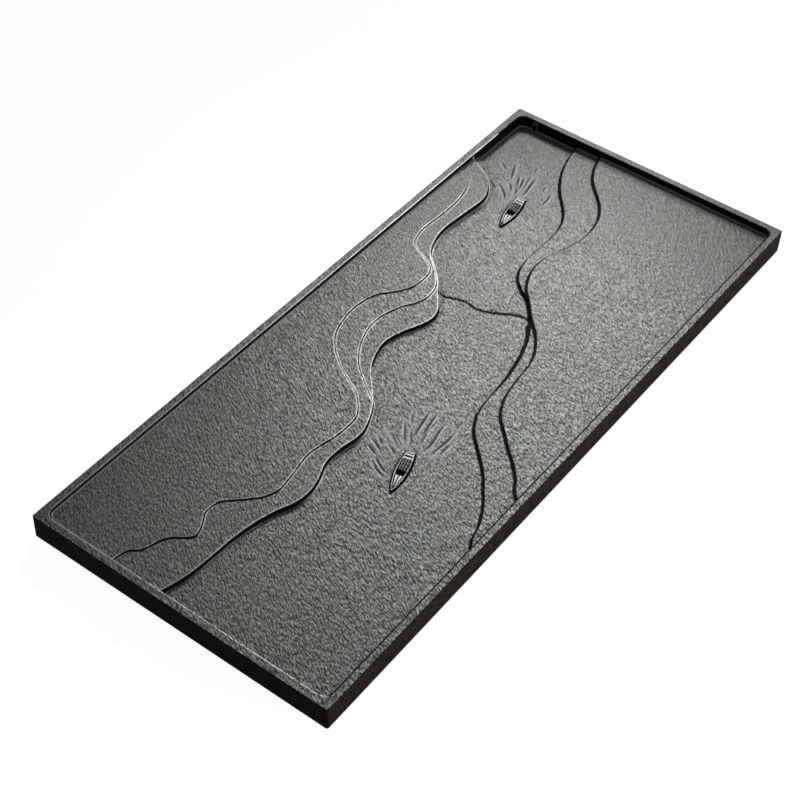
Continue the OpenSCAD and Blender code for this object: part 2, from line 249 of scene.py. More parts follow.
class Terrace:
    """One carved step, its high side to the left (1) or the right (-1) of its edge.

    near_h, far_h: its height at the ends of the basin
    cove: width of the hollow at its foot; wide_foot: from and to where this grows, to what
    black: width of its dark face, partly the cut stone's black and partly painted shade
    fade: where along the tray the step begins, and where it has its full height
    soft: from and to where its face softens, into a slope this wide
    ramp: width of the slope that takes the place of its face where it has turned
    bright: how pale its edge is, part wear and part painted highlight, where it hasn't turned
    turns: directions in degrees that its face looks to: not turned yet, fully turned. On the left
    bank a turned face looks towards the key light and gets less painted shade and more painted
    highlight; on the right bank it looks away and gets more painted shade
    """

    def __init__(self, points, high_side, near_h, far_h, cove, black, fade=None, soft=None,
                 wide_foot=None, ramp=None, bright=0.35, turns=(-108, -92)):
        self.line = spline(points)
        if self.line[0, 0] > self.line[-1, 0]:
            self.line = self.line[::-1]
        self.high = high_side
        run = np.gradient(self.line, axis=0)
        run = np.column_stack([np.convolve(np.pad(run[:, k], 3, "edge"), np.full(7, 1 / 7), "valid")
                               for k in (0, 1)])
        self.facing = np.degrees(np.arctan2(-high_side * run[:, 0], high_side * run[:, 1]))
        self.near_h, self.far_h, self.cove, self.black = near_h, far_h, cove, black
        self.fade, self.soft, self.wide_foot = fade, soft, wide_foot
        self.ramp, self.bright, self.turns = ramp, bright, turns

    def height(self, x):
        h = self.near_h + (self.far_h - self.near_h) * far_share(x)
        return h * rising(x, *self.fade) if self.fade else h

    def foot(self, x, h):
        """Width and height of the hollow at the foot of the step."""
        wide = self.cove
        if self.wide_foot:
            x0, x1, far = self.wide_foot
            wide = wide + (far - wide) * rising(x, x0, x1)
        return wide, np.minimum(h * 0.55, wide)

    def distance(self, xy):
        """Signed distance to the edge, positive on the high side, and how far, from 0 to 1,
        the face of the nearest part of the edge has turned."""
        x = xy[:, 0]
        across = xy[:, 1] - np.interp(x, self.line[:, 0], self.line[:, 1])
        out = np.full(len(xy), FAR_OFF)
        turned = np.zeros(len(xy))
        near = np.nonzero(np.abs(across) < EDGE_REACH)[0]
        a, b = self.line[:-1], self.line[1:]
        run = b - a
        length2 = (run ** 2).sum(1)
        for part in np.array_split(near[np.argsort(x[near])], max(1, len(near) // 400)):
            px = xy[part]
            lo = np.searchsorted(a[:, 0], px[:, 0].min() - EDGE_WINDOW)
            hi = np.searchsorted(a[:, 0], px[:, 0].max() + EDGE_WINDOW)
            seg, start, l2 = run[lo:hi], a[lo:hi], length2[lo:hi]
            if not len(seg):
                continue
            rel = px[:, None, :] - start[None]
            t = np.clip((rel * seg[None]).sum(2) / l2[None], 0, 1)
            gap2 = ((rel - t[..., None] * seg[None]) ** 2).sum(2)
            out[part] = np.sqrt(gap2.min(1))
            turned[part] = rising(self.facing[lo + gap2.argmin(1)], *self.turns)
        return out * np.sign(across) * self.high, turned


def line_gap(xy, points):
    """Distance of each point from a drawn line, positive on its left, and the share of the way."""
    line = spline(points, 0.4)
    across = normals(line)
    near = np.all((xy > line.min(0) - LINE_REACH) & (xy < line.max(0) + LINE_REACH), axis=1)
    gap = np.full(len(xy), FAR_OFF)
    along = np.zeros(len(xy))
    where = np.nonzero(near)[0]
    for part in np.array_split(where, max(1, len(where) // 500)):
        if len(part):
            away = np.hypot(*(xy[part, None, :] - line[None]).transpose(2, 0, 1))
            nearest = away.argmin(1)
            side = ((xy[part] - line[nearest]) * across[nearest]).sum(1)
            gap[part] = away.min(1) * np.where(side < 0, -1, 1)
            along[part] = nearest / (len(line) - 1)
    return gap, along


def away_side(points):
    """1 where the left of a stroke is its side away from the key light, or else -1."""
    (x0, y0), (x1, y1) = points[0], points[-1]
    return 1 if math.atan2(y1 - y0, x1 - x0) > KEY_AZIMUTH else -1


def with_branch(points, branch, leaves, joins):
    return points[:leaves + 1] + branch + points[joins:]


LEFT, RIGHT = 1, -1
RIGHT_TURNS = (92, 118)
TERRACES = [
    Terrace(MAIN_EDGE, LEFT, 3.0, 5.7, cove=2.0, black=0.8, soft=(232, 256, 15),
            wide_foot=(-130, -30, 6.5), ramp=5.5, bright=0.9, turns=(-68, -52)),
    Terrace(with_branch(MAIN_EDGE, MID_EDGE, MID_LEAVES, MID_JOINS), LEFT, 0.8, 0.8,
            cove=1.0, black=0.7),
    Terrace(UPPER_EDGE, LEFT, 1.0, 1.0, cove=1.0, black=0.8, fade=(240, 205)),
    Terrace(with_branch(LOWER_EDGE, LEDGE_EDGE, LEDGE_LEAVES, LEDGE_JOINS), RIGHT, 1.5, 1.5,
            cove=2.6, black=1.5, turns=RIGHT_TURNS),
    Terrace(LOWER_EDGE, RIGHT, 1.3, 1.3, cove=2.6, black=1.5, turns=RIGHT_TURNS),
    Terrace(BROAD_EDGE, RIGHT, 2.2, 2.2, cove=2.6, black=1.7, turns=RIGHT_TURNS),
]


def step_profile(d, h, wide, foot_h):
    """Height of a step at a signed distance from its edge: upright, then a hollow foot."""
    u = -d
    s = np.clip((u - WALL) / wide, 0, 1)
    upright = foot_h + (h - foot_h) * np.interp(u, (0, BROW, WALL), (1, 0.9, 0))
    hollow = foot_h * (1 - s) ** 2.3
    return np.where(u <= 0, h, np.where(u < WALL, upright, hollow)), s


def rounded_rect(len_x, len_y, r, n=4):
    """A closed outline with round corners of n parts each, counter-clockwise from +X."""
    points = []
    for k, (sx, sy) in enumerate(((1, 1), (-1, 1), (-1, -1), (1, -1))):
        cx, cy = sx * (len_x / 2 - r), sy * (len_y / 2 - r)
        points += [(cx + r * math.cos(math.radians(90 * k + 90 * i / n)),
                    cy + r * math.sin(math.radians(90 * k + 90 * i / n))) for i in range(n + 1)]
    p = np.array(points + points[:1])
    out = []
    for a, b in zip(p[:-1], p[1:]):
        parts = max(1, int(round(np.hypot(*(b - a)) / OUTLINE_STEP)))
        out += [a + (b - a) * i / parts for i in range(parts)]
    return np.array(out)


def inside_depth(xy, len_x, len_y, r):
    """Distance inwards from the outline of a rounded rectangle, negative outside it."""
    q = np.abs(xy) - (np.array([len_x, len_y]) / 2 - r)
    outer = np.hypot(*np.maximum(q, 0).T) + np.minimum(q.max(1), 0)
    return r - outer


def noise_field(xy, scale, seed):
    return np.array([noise.noise(Vector((x / scale, y / scale, seed))) for x, y in xy])


def turned_plan(xy, degrees):
    """Plan points turned counter-clockwise about the origin."""
    c, s = math.cos(math.radians(degrees)), math.sin(math.radians(degrees))
    return np.column_stack([xy[:, 0] * c - xy[:, 1] * s, xy[:, 0] * s + xy[:, 1] * c])


def boat_outline(place, heading, grow=0.0):
    """The boat's plan as a closed line on the tray, grown outwards."""
    side = [(BOAT_LEN * (0.5 - t), half_beam(t)) for t in np.linspace(0, 1, 60) ** 1.5]
    p = np.array(side + [(x, -y) for x, y in side[::-1]])
    return turned_plan(p - grow * normals(p), heading) + np.array(place)


class Carving:
    """The carved top at plan points: z is its height against the rim. The finish at each point
    is how far it is black, as cut stone and painted shade; pale, as wear and painted highlight;
    smooth; and dark with painted shade in the cleft, the seam, the strokes and by the far wall."""

    def __init__(self, xy):
        self.xy, self.x, self.y = xy, xy[:, 0], xy[:, 1]
        self.z = bed_depth(self.x)
        self.cut, self.lip, self.smooth, self.cleft, self.seam, self.brushed = np.zeros((6, len(xy)))
        self.ragged = noise_field(xy, 3.0, 5.5)
        self.wall = inside_depth(xy, BASIN_LEN, BASIN_WID, BASIN_R)
        for terrace in TERRACES:
            self.step(terrace)
        self.crack()
        for line, deep in NEAR_WAKE + FAR_WAKE:
            self.stroke(line, deep)
        for _, place, heading in BOATS:
            self.seat(place, heading)
        self.basin_wall()
        self.roughen()

    def mark(self, layer, amount, where=slice(None)):
        """Raises a layer of the finish to this amount where it is less."""
        values = getattr(self, layer)
        values[where] = np.maximum(values[where], amount)

    def step(self, t):
        """A terrace's step, black on its face, partly as cut stone and partly as painted shade, which
        lessens where the face turns towards the key light. Its edge is pale on the left bank, with
        wear and painted highlight, and sharp on the right bank, with a black arris of painted shadow."""
        d, turned = t.distance(self.xy)
        h = t.height(self.x)
        wide, foot_h = t.foot(self.x, h)
        step, _ = step_profile(d, h, wide * (1 + 0.25 * self.ragged), foot_h)
        strength = np.clip(h / FULL_STEP, 0, 1) * (self.wall > WALL)
        # Painted shade: the dark face's band, on the right bank wider where the face turns away from
        # the key light.
        band = t.black + WALL + FACE_BLUR + 0.5 * self.ragged
        if t.high == RIGHT:
            band = band - 0.3 * (1 - turned)
        black = strength * (d < SLACK) * np.clip((band + d) / FACE_BLUR, 0, 1)
        # Where the face turns towards the key light it becomes a slope without painted shade.
        if t.ramp:
            slope = np.clip(1 + d / t.ramp + 0.12 * self.ragged, 0, 1)
            slope = h * (0.8 * slope + 0.2 * (d >= 0))
            step = step * (1 - turned) + slope * turned
            black = black * (1 - turned)
            foot = stripe(d + t.ramp * (1 + 0.15 * self.ragged), 0.9, 1.3)
            self.mark("seam", strength * turned * foot)
        elif t.high == LEFT:
            # Painted highlight at the foot of a face turned towards the key light, and less painted
            # shade on it.
            self.mark("lip", strength * turned * stripe(d + 1.6, 0.4))
            black = black * (1 - 0.45 * turned)
        if t.soft:
            x0, x1, run = t.soft
            share = rising(self.x, x0, x1)
            slope = np.clip(1 + d / run + 0.2 * self.ragged, 0, 1)
            slope = h * slope * slope * (3 - 2 * slope)
            step = step * (1 - share) + slope * share
            fading = 1 - np.clip(share * 3, 0, 1)
            strength, black = strength * fading, black * fading
        self.z += step
        edge = np.clip((EDGE_PALE - d) / 0.5, 0, 1) * (d >= 0)
        self.z -= 0.06 * strength * edge * (d < 0.2)
        # Pale edge: part wear and part painted highlight, stronger where the face turns towards the key
        # light and fainter towards the far end.
        if t.high == LEFT:
            pale_and_lit = strength * (t.bright + (1 - t.bright) * turned) * edge
            self.mark("lip", pale_and_lit * (1 - 0.85 * rising(self.x, *HIGHLIGHT_FADES)))
            black = black * (d < -SLACK)
        else:
            # Painted shadow: a black arris on the right bank's edges, wider where they turn away from
            # the key light.
            arris = strength * (d >= 0) * np.clip(1 - d / (0.4 + 0.35 * turned), 0, 1)
            self.z -= STEP_ARRIS * arris
            black = np.maximum(black, np.clip(2 * arris, 0, 1))
        self.mark("cut", black)
        self.mark("smooth", black)

    def crack(self):
        """The cleft across the river, and the seam at the foot of the sloped bank, both sunk and
        darkened with painted shade.
        """
        gap, along = line_gap(self.xy, CLEFT_LINE)
        ends = np.clip(np.minimum(along, 1 - along) * 12, 0, 1)
        # The cleft's mask: it sinks the cleft and darkens it with painted shade.
        self.cleft = stripe(gap + 0.8 * self.ragged, CLEFT_W) * ends
        self.z -= CLEFT_D * self.cleft + SEAM_D * self.seam
        # Painted shade along the seam.
        self.mark("cleft", 0.8 * self.seam)

    def stroke(self, line, deep):
        """A brushed stroke of a wake: a groove darkened with painted shade, and a low ridge beside it
        on the side away from the key light, paled with a painted highlight."""
        gap, along = line_gap(self.xy, line)
        gap = gap * away_side(line)
        swell = np.sin(np.pi * np.clip(along, 0.02, 0.98)) ** 0.6
        self.z -= STROKE_DEPTH * deep * swell * np.clip(1 - (gap / STROKE_W) ** 2, 0, 1)
        ridge = np.exp(-((gap - RIDGE_AT) / RIDGE_W) ** 2)
        self.z += RIDGE_SHARE * STROKE_DEPTH * deep * swell * ridge
        # Painted shade in the groove and painted highlight on the ridge, on sides set by the key light.
        self.mark("cleft", 3.6 * deep * swell * stripe(gap + 0.45, 0.8, 1.6))
        self.mark("lip", 0.9 * deep * swell * stripe(gap - 1.7, 0.8, 1.3))
        self.mark("brushed", stripe(gap, 2.5, 1.6) * np.clip(4 * swell, 0, 1))

    def seat(self, place, heading):
        """The sunk seat of a boat and the moat round it, black partly as cut stone and partly as
        painted shade round the boat's foot.
        """
        near = np.nonzero(np.hypot(*(self.xy - np.array(place)).T) < BOAT_LEN)[0]
        xy = self.xy[near]
        line = boat_outline(place, heading)
        gap = np.array([np.hypot(*(line - p).T).min() for p in xy])
        along, across = turned_plan(xy - np.array(place), -heading).T
        t = np.clip(0.5 - along / BOAT_LEN, 0, 1)
        under = (np.abs(across) < [half_beam(v) for v in t]) & (np.abs(along) < BOAT_LEN / 2)
        moat = np.where(under, 1, stripe(gap, MOAT_W, 1.7))
        self.z[near] -= MOAT_D * moat
        # Black moat and seat: cut stone and painted shade round the boat's foot.
        self.mark("cut", np.clip(1.6 * moat, 0, 1), near)
        self.mark("smooth", moat, near)

    def basin_wall(self):
        """The wall round the basin and the cove at its foot, black as cut stone and painted shade, and
        the rim's inner edge, pale with wear and painted highlight on the sides that the key light
        reaches and black with painted shadow on the others. A painted highlight runs along the
        left cove, and painted shadow lies beside the far wall."""
        x, y, wall = self.x, self.y, self.wall
        depth = -self.z
        rise, s = step_profile(-wall, depth, COVE_W, np.minimum(COVE_H, 0.5 * depth))
        self.z = self.z + rise
        below = wall > -SLACK
        # Painted shade: the wall and the upper cove black, as well as the cut stone's black.
        self.mark("cut", below * (1 - np.clip(s * 2.2, 0, 1)))
        self.mark("smooth", below * np.clip(1.6 * (1 - s), 0, 1))
        # The lit sides' inner edge gets wear and painted highlight, the others a black arris of painted
        # shadow.
        bright = ((y > BASIN_WID / 2 - 3) & (x < RIM_LIT_TO)) | (x < -BASIN_LEN / 2 + 3)
        edge = np.clip((RIM_PALE + wall) / 0.4, 0, 1) * (wall <= 0)
        arris = np.where(y < -BASIN_WID / 2 + 3, 1.7, 0.6)
        arris = np.clip(1 + wall / arris, 0, 1) * (wall <= 0)
        black = np.clip(2 * arris, 0, 1)
        self.z -= np.where(bright, 0.1 * (np.abs(wall) < SLACK), RIM_ARRIS * arris)
        self.mark("lip", bright * edge * (wall <= SLACK))
        self.cut = np.where(bright & (wall < SLACK), 0, np.maximum(self.cut, black))
        self.mark("smooth", np.where(bright, edge, black))
        # Painted highlight along the cove at the foot of the left wall, where the key light reaches.
        foot = stripe(s - 0.62, 0.12) * below * (wall < 6)
        self.mark("lip", 0.8 * foot * (y > BASIN_WID / 2 - 8) * (x < FOOT_LIT_TO))
        # Painted shadow of the far wall on the bed beside it.
        self.mark("cleft", 0.8 * rising(BASIN_LEN / 2 - x, 15, 6) * (wall > 2.2))

    def roughen(self):
        """The hammered roughness, less where the stone is smooth, pale with wear and painted highlight,
        brushed or near an edge.
        """
        self.mark("smooth", 0.6 * self.brushed)
        rough = sum(height * noise_field(self.xy, size, seed) for height, size, seed in TOOLING)
        rough *= np.interp(self.x, (0, 330), (1, 0.55))
        calm = (np.clip((np.abs(self.wall) - 0.4) / 1.2, 0, 1)
                * np.clip(TRAY_WID / 2 - 0.9 - np.abs(self.y), 0, 1)
                * np.clip(TRAY_LEN / 2 - 0.9 - np.abs(self.x), 0, 1)) * (1 - 0.6 * self.brushed)
        self.z += rough * calm * (1 - np.minimum(self.smooth, 1)) * (1 - np.minimum(self.lip, 1))
        self.z = np.minimum(self.z, 0)
        self.mark("smooth", self.lip)


def loose_grid(x0, x1, y0, y1, step):
    """An open triangular grid of points."""
    rows = []
    for j, y in enumerate(np.arange(y0, y1, step * ROW_STEP)):
        x = np.arange(x0 + 0.5 * step * (j % 2), x1, step)
        rows.append(np.column_stack([x, np.full(len(x), y)]))
    return np.vstack(rows)


def stone_points():
    """Plan points of the slab's top, in rows along each carved edge and in loose grids, and
    the pairs of them that an edge of the mesh joins."""
    rows, edges = [], []
    count = 0

    def add_row(p, joined, closed=False):
        nonlocal count
        keep = np.ones(len(p), bool)
        if not closed:
            keep = inside_depth(p, BASIN_LEN, BASIN_WID, BASIN_R) > WALL_CLEAR
        index = np.full(len(p), -1)
        index[keep] = np.arange(keep.sum()) + count
        rows.append(p[keep])
        count += int(keep.sum())
        if joined:
            last = len(p) if closed else len(p) - 1
            for i in range(last):
                a, b = index[i], index[(i + 1) % len(p)]
                if a >= 0 and b >= 0:
                    edges.append((int(a), int(b)))

    add_row(rounded_rect(TRAY_LEN - 2 * ARRIS, TRAY_WID - 2 * ARRIS, CORNER_R), True, True)
    for offset in WALL_ROWS:
        add_row(rounded_rect(BASIN_LEN - 2 * offset, BASIN_WID - 2 * offset, BASIN_R - offset, 12),
                offset in (0.0, BROW, WALL), True)
    for t in TERRACES:
        across = normals(t.line) * t.high
        for offset in (0.0,) + tuple(-v for v in ROWS_LOW) + ROWS_HIGH:
            add_row(t.line + across * offset, offset in (0.0, -BROW, -WALL))
    for points, _ in NEAR_WAKE + FAR_WAKE:
        line = spline(points, STROKE_STEP)
        across = normals(line) * away_side(points)
        for offset in STROKE_ROWS:
            add_row(line + across * offset, False)
    for _, place, heading in BOATS:
        for grow in BOAT_ROWS:
            add_row(boat_outline(place, heading, grow), False)
    fixed = np.vstack(rows)
    grids = []
    for wake in (NEAR_WAKE, FAR_WAKE, [(CLEFT_LINE, 0)]):
        marks = np.vstack([spline(line, 1.0) for line, _ in wake])
        (x0, y0), (x1, y1) = marks.min(0) - 3, marks.max(0) + 3
        fine = loose_grid(x0, x1, y0, y1, WAKE_STEP)
        away = np.array([np.hypot(*(marks - p).T).min() for p in fine])
        grids.append((fine[away < WAKE_REACH], WAKE_CLEAR))
    grids.append((loose_grid(-TRAY_LEN / 2 + 1.6, TRAY_LEN / 2 - 1.2,
                             -TRAY_WID / 2 + 1.6, TRAY_WID / 2 - 1.2, GRID_STEP), GRID_CLEAR))
    for points, clear in grids:
        taken = set(map(tuple, np.floor(fixed / clear).astype(int)))
        cells = np.floor(points / clear).astype(int)
        free = [not any((kx + a, ky + b) in taken for a in (-1, 0, 1) for b in (-1, 0, 1))
                for kx, ky in cells.tolist()]
        fixed = np.vstack([fixed, points[free]])
    return fixed, edges


def alone(obj):
    """Makes an object the active one and the only one selected."""
    bpy.ops.object.select_all(action="DESELECT")
    obj.select_set(True)
    bpy.context.view_layer.objects.active = obj


def own_place(obj):
    """Puts the piece's place into its mesh, as the CAD nodes have it."""
    alone(obj)
    bpy.ops.object.transform_apply(location=True, rotation=True, scale=True)


def primitive(add_mesh, name, finishes=(), **values):
    """Adds a primitive, alone selected, with its name and finishes."""
    bpy.ops.object.select_all(action="DESELECT")
    add_mesh(**values)
    obj = bpy.context.active_object
    obj.name = obj.data.name = name
    for finish in finishes:
        obj.data.materials.append(finish)
    return obj


def pick(obj, mode, test):
    """In edit mode, selects the faces or vertices that a test of their place picks."""
    bpy.ops.object.mode_set(mode="OBJECT")
    mesh = obj.data
    for part in (mesh.vertices, mesh.edges, mesh.polygons):
        part.foreach_set("select", np.zeros(len(part), bool))
    if mode == "FACE":
        for f in mesh.polygons:
            f.select = test(f.center, f.normal)
    else:
        for v in mesh.vertices:
            v.select = test(v.co)
    bpy.ops.object.mode_set(mode="EDIT")
    bpy.ops.mesh.select_mode(type=mode)


def blacken():
    """In edit mode, gives the selected faces the boat's second, black finish: partly the cut
    stone's black and partly painted shade.
    """
    bpy.context.object.active_material_index = 1
    bpy.ops.object.material_slot_assign()


def turn_outwards():
    """In edit mode, selects all faces and turns them outwards."""
    bpy.ops.mesh.select_all(action="SELECT")
    bpy.ops.mesh.normals_make_consistent(inside=False)


def draw_out(size, rise, grow):
    """Extrudes the selection upwards and grows it on every side. Returns its new size."""
    bpy.ops.mesh.extrude_region_move(TRANSFORM_OT_translate={"value": (0, 0, rise)})
    new = size[0] + 2 * grow, size[1] + 2 * grow
    bpy.ops.transform.resize(value=(new[0] / size[0], new[1] / size[1], 1), center_override=(0, 0, 0))
    return new


def carve_slab():
    """The stone slab: its carved top, then its sides and underside extruded from the edge."""
    plan, edges = stone_points()
    cdt = geometry.delaunay_2d_cdt([Vector(p) for p in plan], edges, [], 0, 1e-5)
    xy = np.array([v[:] for v in cdt[0]])
    top = Carving(xy)
    mesh = bpy.data.meshes.new("tray_slab_stone")
    mesh.from_pydata(np.column_stack([xy, top.z + RIM_Z]) * MM, [], cdt[2])
    for name in ("cut", "lip", "smooth", "cleft"):
        mesh.attributes.new(name, "FLOAT", "POINT").data.foreach_set("value", getattr(top, name))
    slab = bpy.data.objects.new("tray_slab_stone", mesh)
    bpy.context.scene.collection.objects.link(slab)
    alone(slab)
    bpy.ops.object.mode_set(mode="EDIT")
    turn_outwards()
    bpy.ops.mesh.region_to_loop()
    size = TRAY_LEN - 2 * ARRIS, TRAY_WID - 2 * ARRIS
    upright = RIM_Z - SLAB_LOW.z - ARRIS - FOOT_ARRIS
    for drop, grow in ((ARRIS, ARRIS), (upright, 0), (FOOT_ARRIS, -FOOT_ARRIS)):
        size = draw_out(size, -drop * MM, grow)
    bpy.ops.mesh.edge_face_add()
    turn_outwards()
    bpy.ops.object.mode_set(mode="OBJECT")
    bpy.ops.object.shade_smooth_by_angle(angle=math.radians(STONE_SMOOTH))
    return slab


def bore_drain(slab):
    """The bore through the far wall, widened from outside for the steel sleeve."""
    for radius, reach in ((SLEEVE_R, SLEEVE_HIGH.x - SLEEVE_LOW.x),
                          (SLEEVE_R - SLEEVE_WALL * MM, BORE_REACH * MM)):
        drill = primitive(bpy.ops.mesh.primitive_cylinder_add, "drill", vertices=64, radius=radius,
                          depth=2 * reach, location=(SLEEVE_HIGH.x, BORE_Y, BORE_Z),
                          rotation=(0, math.pi / 2, 0))
        own_place(drill)
        cut = slab.modifiers.new("bore", "BOOLEAN")
        cut.operation, cut.solver, cut.object = "DIFFERENCE", "MANIFOLD", drill
        alone(slab)
        bpy.ops.object.modifier_apply(modifier=cut.name)
        bpy.data.objects.remove(drill)


def boat_hull(finishes):
    """The open hull: a plank plan, raised, with a sunken deck inside the side's top edge."""
    hull = primitive(bpy.ops.mesh.primitive_grid_add, "hull", finishes, x_subdivisions=STATIONS,
                     y_subdivisions=6, size=1, location=(0, 0, 0))
    hull.scale = (BOAT_LEN, BOAT_BEAM, 1)
    own_place(hull)
    for i in range(STATIONS + 1):
        t = i / STATIONS
        x = BOAT_LEN * (0.5 - t)
        pick(hull, "VERT", lambda co: abs(co.x - x) < 0.3)
        bpy.ops.transform.resize(value=(1, 2 * half_beam(t) / BOAT_BEAM, 1), center_override=(x, 0, 0))
        bpy.ops.transform.translate(value=(0, 0, sheer(t)))
    pick(hull, "FACE", lambda c, n: True)
    size = BOAT_LEN, BOAT_BEAM
    for rise, grow in ((BOAT_H - 1, 0), (1, -STRAKE_W), (0, -GUNWALE_W), (-DECK_D, -0.1)):
        size = draw_out(size, rise, grow)
    # The sunken deck black: cut stone and painted shade inside the hull.
    blacken()
    # Faces that don't look up black: cut stone and painted shade on the hull's sides.
    pick(hull, "FACE", lambda c, n: n.z < 0.85)
    blacken()
    bpy.ops.object.mode_set(mode="OBJECT")
    return hull


def boat_cabin(finishes):
    """The woven awning: an arch of dark mats between pale hoops, open towards the bow. The mats
    and the faces that don't look up are black, partly as cut stone and partly as painted shade.
    """
    awning = primitive(bpy.ops.mesh.primitive_grid_add, "awning", finishes, x_subdivisions=3,
                       y_subdivisions=4, size=1, location=(0, 0, 0))
    awning.scale = (CABIN_LEN, CABIN_WID, 1)
    awning.location = (CABIN_X, 0, BOAT_H + CABIN_H)
    own_place(awning)
    for k in range(5):
        y = CABIN_WID * (k / 4 - 0.5)
        pick(awning, "VERT", lambda co: abs(co.y - y) < 0.1)
        bpy.ops.transform.translate(value=(0, 0, math.sqrt(ARCH_R ** 2 - y * y) - ARCH_R))
    pick(awning, "FACE", lambda c, n: True)
    bpy.ops.mesh.extrude_region_move(TRANSFORM_OT_translate={"value": (0, 0, AWNING_T)})
    bpy.ops.mesh.inset(thickness=HOOP_W, depth=-MAT_SUNK, use_individual=True)
    # The mats black: cut stone and painted shade between the hoops.
    blacken()
    turn_outwards()
    # Faces that don't look up black: cut stone and painted shade.
    pick(awning, "FACE", lambda c, n: n.z < 0.35)
    blacken()
    bpy.ops.object.mode_set(mode="OBJECT")
    return awning


def eased_bar(name, size, place, finishes):
    """A small bar with eased edges."""
    bar = primitive(bpy.ops.mesh.primitive_cube_add, name, finishes, size=1, location=place)
    bar.scale = size
    own_place(bar)
    bpy.ops.object.mode_set(mode="EDIT")
    bpy.ops.mesh.select_all(action="SELECT")
    bpy.ops.mesh.bevel(offset=BAR_EDGE, segments=2, profile=0.5)
    bpy.ops.object.mode_set(mode="OBJECT")
    return bar


def model_boat(name, place, heading, finishes):
    """One covered river boat, its parts joined, seated in the sloping bed."""
    parts = [boat_hull(finishes), boat_cabin(finishes)]
    for side in (-1, 1):
        centre = (PLANK_X, side * PLANK_Y, BOAT_H - DECK_D + PLANK_LIFT)
        plank = eased_bar("plank", PLANK, centre, finishes)
        pick(plank, "VERT", lambda co: co.x > PLANK_X)
        bpy.ops.transform.resize(value=(1, PLANK_NARROWS, 1), center_override=centre)
        bpy.ops.transform.translate(value=(0, -side * PLANK_CLOSES, 0))
        bpy.ops.object.mode_set(mode="OBJECT")
        parts.append(plank)
    for length, behind in THWARTS:
        centre = (CABIN_X - CABIN_LEN / 2 - behind, 0, BOAT_H - THWART_SUNK)
        parts.append(eased_bar("thwart", (length, THWART_WID, THWART_H), centre, finishes))
    boat = parts[0]
    alone(boat)
    for part in parts:
        part.select_set(True)
    bpy.ops.object.join()
    boat.name = boat.data.name = name
    boat.location = Vector((place[0], place[1], RIM_Z + bed_depth(place[0]) - BOAT_SUNK)) * MM
    boat.rotation_euler = (0, 0, math.radians(heading))
    boat.scale = (MM, MM, MM)
    own_place(boat)
    bpy.ops.object.mode_set(mode="EDIT")
    turn_outwards()
    bpy.ops.object.mode_set(mode="OBJECT")
    bpy.ops.object.shade_smooth_by_angle(angle=math.radians(BOAT_SMOOTH))
    return boat


# Materials

# The tooling's marks in the carved stone: their size and the depth of their bump in
# millimetres, and how they are drawn out and turned.
CHIPS, LUMPS, GRAIN = 1.25, 2.2, 0.9
CHIPS_BUMP, LUMPS_BUMP, GRAIN_BUMP = 1.3, 2.0, 0.045
TOOL_STRETCH, TOOL_TURN = (2.5, 1, 1), math.radians(56)

ROUGH_STONE = (0.090, 0.095, 0.086)
ROUGH_STONE_LIGHT = (0.180, 0.188, 0.171)
ROUGH_STONE_DARK = (0.024, 0.025, 0.022)
SMOOTH_STONE = (0.085, 0.088, 0.084)
# Near black of cut stone: partly its own colour and partly painted shade.
CUT_BLACK_AND_SHADE = (0.004, 0.004, 0.004)
CUT_DEEP_SHADE = (0.0015, 0.0015, 0.0015)
# Painted shade in creases, the seam, the strokes and beside the far wall.
CREASE_SHADE_STONE = (0.014, 0.014, 0.013)
# Pale of wear and painted highlight.
WEAR_AND_HIGHLIGHT_STONE = (0.62, 0.62, 0.60)
SIDE_DARK = (0.0010, 0.0008, 0.0008)
SIDE_STONE = (0.0075, 0.0062, 0.005)
SIDE_SPECKS = (0.050, 0.042, 0.035)
BOAT_STONE = (0.21, 0.215, 0.20)
BOAT_STONE_LIGHT = (0.33, 0.335, 0.32)
# Painted shade inside the sleeve's bore.
BORE_SHADE = (0.02, 0.014, 0.009)
STEEL_DARK, STEEL_LIGHT = (0.52, 0.52, 0.53), (0.70, 0.70, 0.71)
FOAM_DARK, FOAM_LIGHT = (0.62, 0.61, 0.57), (0.76, 0.75, 0.71)
RUBBER_DARK, RUBBER_LIGHT = (0.016, 0.016, 0.016), (0.030, 0.030, 0.029)
RUBBER_DUST = (0.06, 0.058, 0.055)


class Tree:
    """A node tree, with short calls for its nodes. Into a node goes another node's socket, a
    number, a vector or a colour."""

    def __init__(self, owner):
        owner.use_nodes = True
        self.nodes, self.links = owner.node_tree.nodes, owner.node_tree.links

    def feed(self, socket, value):
        if isinstance(value, bpy.types.NodeSocket):
            self.links.new(value, socket)
        else:
            socket.default_value = (*value, 1) if socket.type == "RGBA" else value

    def add(self, kind, inputs=None, **settings):
        node = self.nodes.new("ShaderNode" + kind)
        for name, value in settings.items():
            setattr(node, name, value)
        for name, value in (inputs or {}).items():
            self.feed(node.inputs[name], value)
        return node

    def calc(self, operation, a, b, clamp=False):
        return self.add("Math", {0: a, 1: b}, operation=operation, use_clamp=clamp).outputs[0]

    def white_seen(self):
        """1 for the rays that show the white background: seen, mirrored or through glass."""
        rays = self.add("LightPath").outputs
        seen = self.calc("MAXIMUM", rays["Is Camera Ray"], rays["Is Glossy Ray"])
        return self.calc("MAXIMUM", seen, rays["Is Transmission Ray"])


